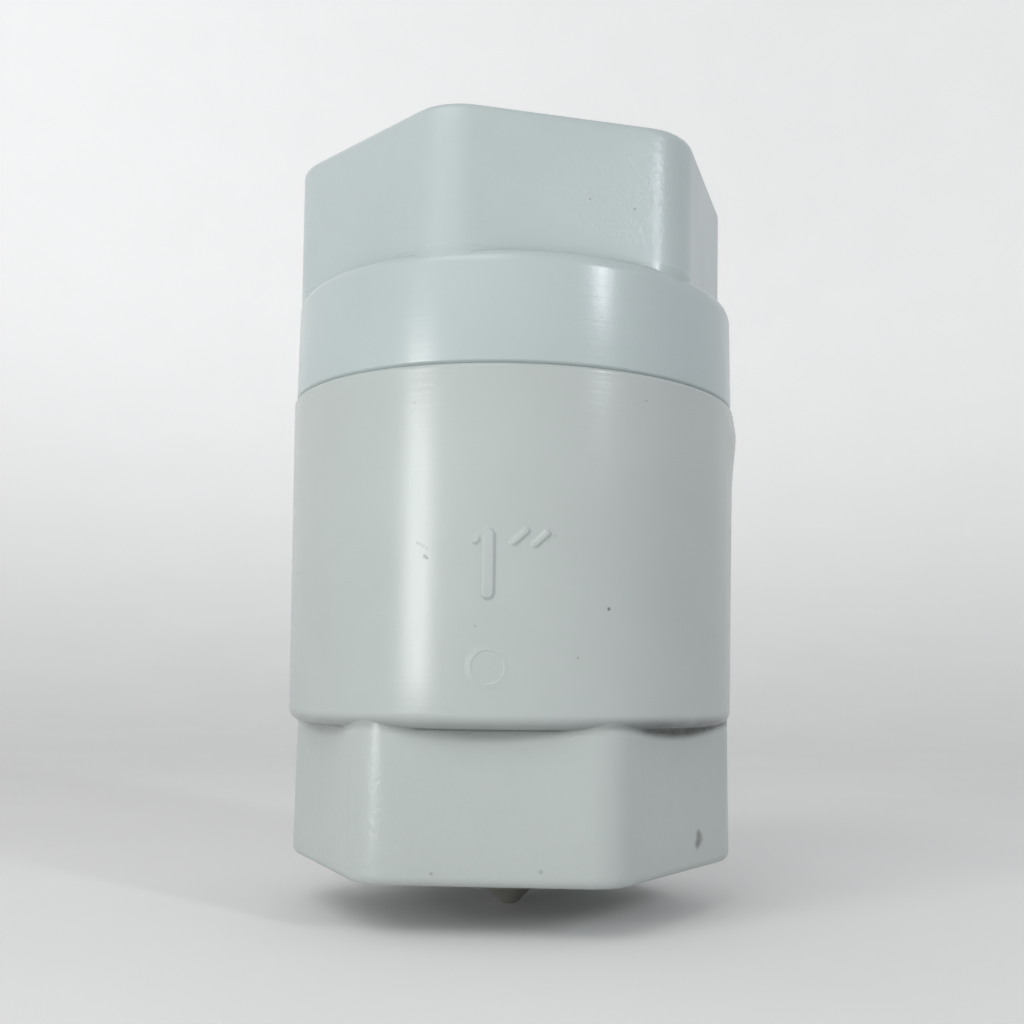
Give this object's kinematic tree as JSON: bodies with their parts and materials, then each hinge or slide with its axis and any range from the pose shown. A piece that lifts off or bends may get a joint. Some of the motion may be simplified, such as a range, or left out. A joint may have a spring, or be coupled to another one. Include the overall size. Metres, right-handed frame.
{
  "type": "spring check valve",
  "caption": "Moulded plastic in-line spring check valve with a screwed cap, hexagonal ends and one-inch female threads; a sprung poppet lets water through one way.",
  "frame": {"origin": "on the valve's axis, in the plane of the outlet hexagon's end face, where the outlet pipe enters", "axes": "+Z along the valve's axis from the outlet to the inlet, against the flow; -Y square to one flat of the outlet hexagon"},
  "size_m": [0.0548, 0.0548, 0.0899],
  "materials": {
    "white_pvc": "satin moulded white PVC with fine turned lines",
    "black_rubber": "smooth moulded nitrile rubber",
    "grey_plastic": "olive grey moulded acetal",
    "stainless_steel": "stamped and polished stainless steel",
    "spring_steel": "drawn stainless spring wire",
    "guide_plastic": "moulded PVC, as moulded",
    "bush_plastic": "natural low-friction plastic"
  },
  "bodies": {
    "lower_body": {"body": "white_pvc", "stem_guide": "guide_plastic", "guide_bush": "bush_plastic", "guide_ring": "spring_steel", "spring_washer": "stainless_steel", "spring": "spring_steel"},
    "seal_ring": {"body_seal": "black_rubber"},
    "screw_cap": {"cap": "white_pvc"},
    "poppet_group": {"poppet": "grey_plastic", "poppet_gasket": "black_rubber", "gasket_retainer": "stainless_steel", "retainer_screw": "stainless_steel"}
  },
  "joints": [
    {"name": "poppet_slide", "type": "slide", "parent": "lower_body", "child": "poppet_group", "axis": [0, 0, -1], "range_m": [0, 0.008], "stiffness_N_per_m": 450, "springref_m": -0.005, "deforming": ["spring"]},
    {"name": "cap_lift", "type": "slide", "parent": "lower_body", "child": "seal_ring", "axis": [0, 0, 1], "range_m": [0, 0.01125]},
    {"name": "cap_turn", "type": "hinge", "parent": "seal_ring", "child": "screw_cap", "pos_m": [0, 0, 0.0555], "axis": [0, 0, 1], "range_deg": [0, 1621]}
  ],
  "couplings": [
    {"joint": "cap_turn", "follows": "cap_lift", "rad_per_m": 2513.3}
  ]
}
